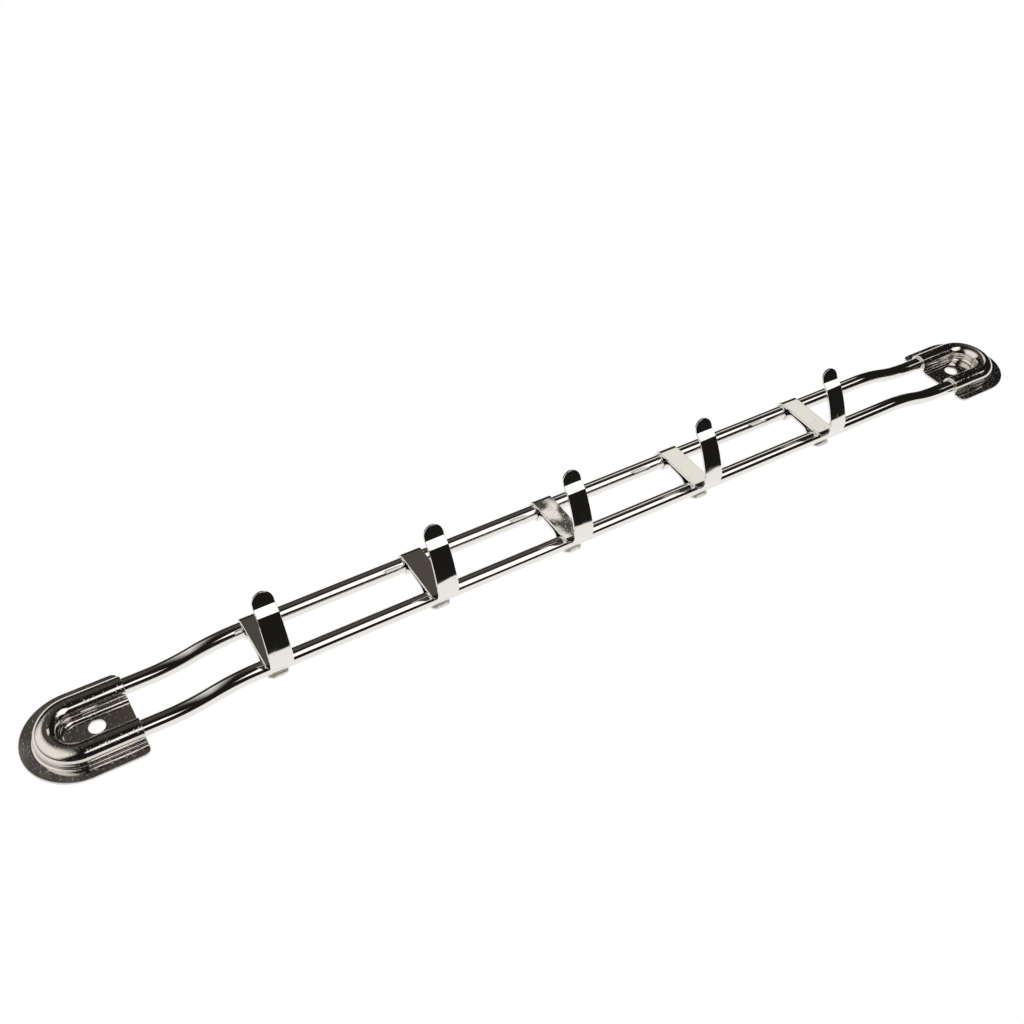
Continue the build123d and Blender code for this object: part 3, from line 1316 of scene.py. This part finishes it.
@dataclass
class Studio:
    """The pale floor, the soft light and the camera.

    Args:
        camera_at: Place of the camera.
        look_at: Point in the middle of its view.
        camera_up: Direction that is up in its view.
        lens: Focal length, in mm.
        sensor: Width of the sensor, in mm.
        shift: Shift of the view, as a share of its width.
        clip: Nearest and farthest distance that it sees.
        floor_half: Half the width of the floor.
        floor_gap: Gap between the wall plane and the floor.
        sheet_half: Half the size of the white sheet that the metal mirrors, along X and along Z.
        sheet_fade: Width of the sheet's faded border.
        least_depth: Least share of a direction that points at a softbox, so that nothing is divided by 0.
        edge_on: Share below which the softbox fades out.
    """

    camera_at: tuple[float, float, float] = (-0.21623, -0.32313, -0.26502)
    look_at: tuple[float, float, float] = (-0.02646, 0.0, 0.02139)
    camera_up: tuple[float, float, float] = (0.33944, -0.72767, 0.59606)
    lens: float = 41.02
    sensor: float = 36.0
    shift: tuple[float, float] = (-0.0020, -0.0019)
    clip: tuple[float, float] = (0.01, 100.0)
    floor_half: float = 6.0
    floor_gap: float = 0.4 * MM
    sheet_half: tuple[float, float] = (0.60, 0.15)
    sheet_fade: float = 0.02
    least_depth: float = 0.02
    edge_on: float = 0.05

    def camera(self) -> None:
        """Places the camera."""
        data = bpy.data.cameras.new("camera")
        data.lens = self.lens
        data.sensor_width = self.sensor
        data.shift_x, data.shift_y = self.shift
        data.clip_start, data.clip_end = self.clip
        camera = add_object("camera", data)
        forward = (Vector(self.look_at) - Vector(self.camera_at)).normalized()
        up = Vector(self.camera_up)
        up = (up - forward * up.dot(forward)).normalized()
        right = forward.cross(up)
        turned = Matrix((right, up, -forward)).transposed().to_4x4()
        camera.matrix_world = Matrix.Translation(Vector(self.camera_at)) @ turned
        bpy.context.scene.camera = camera

    def floor(self) -> None:
        """A pale floor just behind the rack, seen from the front only."""
        mesh = bpy.data.meshes.new("floor")
        half, y = self.floor_half, self.floor_gap
        square = [(-half, y, -half), (half, y, -half), (half, y, half), (-half, y, half)]
        mesh.from_pydata(square, [], [(0, 1, 2, 3)])
        piece = add_object("floor", mesh)
        piece.data.materials.append(self.floor_material())
        piece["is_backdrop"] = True

    def floor_material(self) -> bpy.types.Material:
        """Builds the floor's material.

        Returns:
            A material that is white to look at, with a white sheet under the rack for the metal to mirror.
        """
        made = bpy.data.materials.new("floor")
        made.use_nodes = True
        nodes = NodeTree(made.node_tree)
        place = nodes.add("ShaderNodeSeparateXYZ",
                          {0: nodes.add("ShaderNodeTexCoord").outputs["Object"]}).outputs
        inside = None
        for axis, half in zip((0, 2), self.sheet_half):
            edge = nodes.ramp(nodes.math("ABSOLUTE", place[axis]), half - self.sheet_fade, half, 1.0, 0.0)
            inside = edge if inside is None else nodes.math("MULTIPLY", inside, edge)
        level = nodes.math("ADD", nodes.math("MULTIPLY", inside, SHEET_LEVEL), ROOM_LEVEL)
        mirrored = nodes.add("ShaderNodeEmission", {"Color": SHEET_COLOR, "Strength": level})
        seen = nodes.add("ShaderNodeEmission", {"Color": PLAIN_WHITE, "Strength": PAPER_WHITE})
        ray = nodes.add("ShaderNodeLightPath").outputs["Is Camera Ray"]
        front = nodes.add("ShaderNodeMixShader", {0: ray, 1: mirrored.outputs[0], 2: seen.outputs[0]})
        clear = nodes.add("ShaderNodeBsdfTransparent")
        back = nodes.add("ShaderNodeNewGeometry").outputs["Backfacing"]
        shader = nodes.add("ShaderNodeMixShader", {0: back, 1: front.outputs[0], 2: clear.outputs[0]})
        nodes.add("ShaderNodeOutputMaterial", {"Surface": shader.outputs[0]})
        return made

    def light(self) -> None:
        """A dark room with softboxes, and white where the camera looks past the rack."""
        world = bpy.data.worlds.new("studio")
        bpy.context.scene.world = world
        world.use_nodes = True
        nodes = NodeTree(world.node_tree)
        direction = nodes.add("ShaderNodeTexCoord").outputs["Generated"]
        total = nodes.add("ShaderNodeEmission", {"Color": ROOM_COLOR, "Strength": ROOM_LEVEL}).outputs[0]
        for box in SOFTBOXES:
            lit = nodes.add("ShaderNodeEmission", {"Color": (*box.color, 1.0),
                                                   "Strength": self.softbox_level(nodes, direction, box)})
            total = nodes.add("ShaderNodeAddShader", {0: total, 1: lit.outputs[0]}).outputs[0]
        white = nodes.add("ShaderNodeEmission", {"Color": PLAIN_WHITE, "Strength": PAPER_WHITE})
        ray = nodes.add("ShaderNodeLightPath").outputs["Is Camera Ray"]
        shader = nodes.add("ShaderNodeMixShader", {0: ray, 1: total, 2: white.outputs[0]})
        nodes.add("ShaderNodeOutputWorld", {"Surface": shader.outputs[0]})

    def softbox_level(self, nodes: NodeTree, direction: bpy.types.NodeSocket,
                      box: Softbox) -> bpy.types.NodeSocket:
        """Brightness that one softbox gives a direction.

        Args:
            nodes: The world's tree.
            direction: The direction's socket.
            box: The softbox.

        Returns:
            The socket that holds the brightness.
        """
        middle = Vector(box.towards).normalized()
        level = Vector(box.level)
        level = (level - middle * level.dot(middle)).normalized()
        upright = middle.cross(level)

        def share(axis: Vector) -> bpy.types.NodeSocket:
            """How far the direction goes along an axis."""
            return nodes.add("ShaderNodeVectorMath", {0: direction, 1: tuple(axis)},
                             operation="DOT_PRODUCT").outputs["Value"]

        depth = nodes.math("MAXIMUM", share(middle), self.least_depth)
        result = nodes.ramp(share(middle), 0.0, self.edge_on, 0.0, box.strength)
        for axis, half in ((level, box.half_width), (upright, box.half_height)):
            away = nodes.math("ABSOLUTE", nodes.math("DIVIDE", share(axis), depth))
            result = nodes.math("MULTIPLY", result,
                                nodes.ramp(away, half - box.soft / 2, half + box.soft / 2, 1.0, 0.0))
        return result

    def build(self) -> None:
        """Sets up the whole studio."""
        bpy.context.scene.view_settings.view_transform = "Standard"
        self.camera()
        self.floor()
        self.light()


# ---------------------------------------------------------------- the whole rack


def middle_x(node: str) -> float:
    """X of the middle of a CAD node's box."""
    low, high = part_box(node)
    return (low.x + high.x) / 2


def corners(bounds: tuple[Vector, Vector]) -> list[list[float]]:
    """A box as plain lists of numbers."""
    return [list(corner) for corner in bounds]


def main() -> None:
    """Builds every piece in order."""
    logging.basicConfig(level=logging.INFO, format="%(name)s: %(message)s")
    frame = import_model()
    cad_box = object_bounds()
    Studio().build()

    marks, wear = HandlingMarks().group(), WornPlating().group()
    rod_metal, bracket_metal, hook_metal = (
        finish.material(marks, wear) for finish in (ROD_FINISH, BRACKET_FINISH, HOOK_FINISH))
    rods = Rods()
    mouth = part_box("right_end_bracket")[0].x

    pieces: list[tuple[bpy.types.Object, str, str, Slot]] = []
    for side in Side:
        bracket = EndBracket(side, rods, mouth, bracket_metal)
        node = f"{side.name.lower()}_end_bracket"
        pieces.append((bracket.build(), ROD_BODY, node, Slot.BRACKET))
    loop = RodLoop(rods, bracket.loop_end(), rod_metal)
    pieces.append((loop.build(), ROD_BODY, "rod_loop", Slot.ROD))
    for number, body in enumerate((name for name in frame["bodies"] if name != ROD_BODY), start=1):
        node = f"hook_{number}"
        hook = StripHook(number, middle_x(node), rods, hook_metal)
        pieces.append((hook.build(), body, node, Slot.HOOK))

    for piece, body, node, slot in pieces:
        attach(piece, body)
        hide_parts(node)
        log.info("%s rides on %s and stands for %s, %d faces", piece.name, body, node,
                 len(piece.data.polygons))

    {"cad": corners(cad_box), "visual": corners(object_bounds())}


if __name__ == "__main__":
    main()
